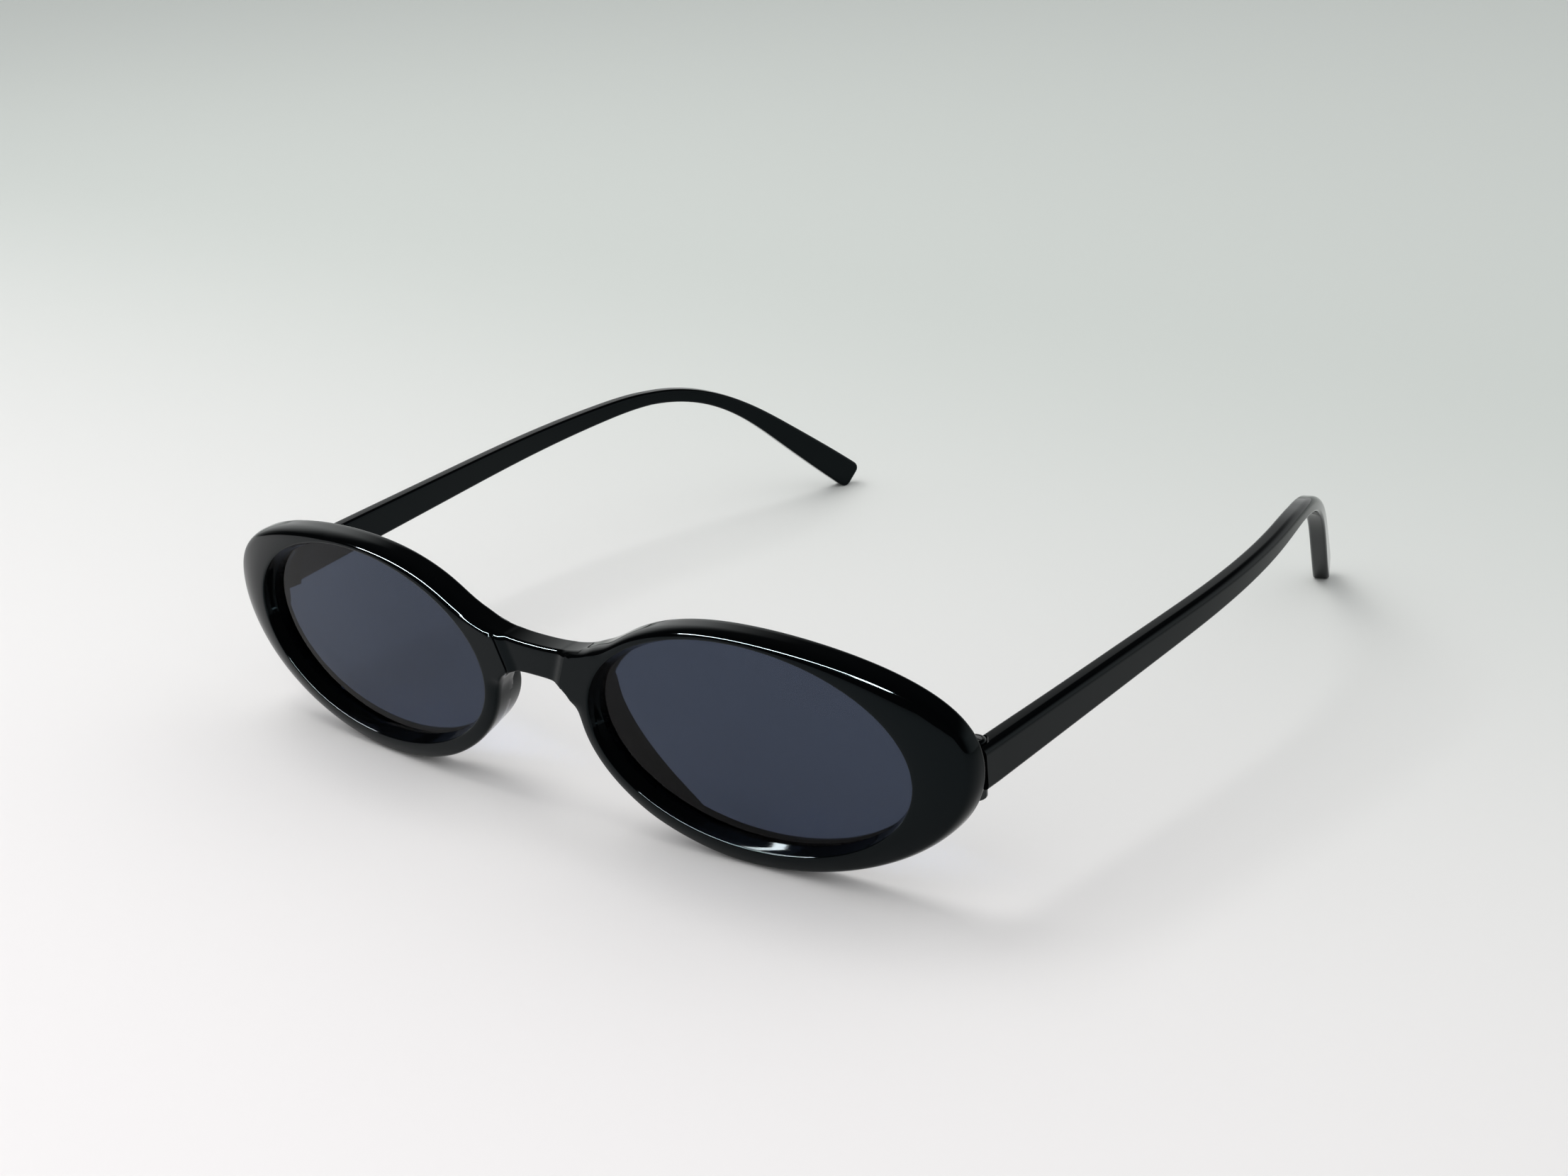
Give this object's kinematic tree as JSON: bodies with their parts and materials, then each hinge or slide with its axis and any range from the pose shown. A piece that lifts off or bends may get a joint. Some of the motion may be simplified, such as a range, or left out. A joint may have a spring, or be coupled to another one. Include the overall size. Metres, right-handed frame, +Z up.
{
  "type": "oval sunglasses",
  "caption": "Slim oval sunglasses with a thick moulded front, tinted see-through lenses, built-in nose pads and folding arms that curve down behind the ear.",
  "frame": {"origin": "centre of the bounding box, at the level the rims and temple tips stand on", "axes": "+X towards the near side in the picture, -Y the way the lenses face, +Z up"},
  "size_m": [0.1404, 0.1432, 0.0345],
  "materials": {
    "frame_plastic": "polished black injection moulding",
    "temple_plastic": "polished black injection moulding",
    "lens_tint": "smooth blue-grey tinted lens, see-through",
    "screw_steel": "blackened steel hinge screw"
  },
  "bodies": {
    "front": {"front_frame": "frame_plastic", "left_lens": "lens_tint", "right_lens": "lens_tint", "left_hinge_screw": "screw_steel", "right_hinge_screw": "screw_steel"},
    "right_arm": {"right_temple": "temple_plastic"},
    "left_arm": {"left_temple": "temple_plastic"}
  },
  "joints": [
    {"name": "right_temple_fold", "type": "hinge", "parent": "front", "child": "right_arm", "pos_m": [0.06585, -0.05995, 0.019], "axis": [0, 0, 1], "range_deg": [0, 82]},
    {"name": "left_temple_fold", "type": "hinge", "parent": "front", "child": "left_arm", "pos_m": [-0.06585, -0.05995, 0.019], "axis": [0, 0, -1], "range_deg": [0, 66]}
  ]
}
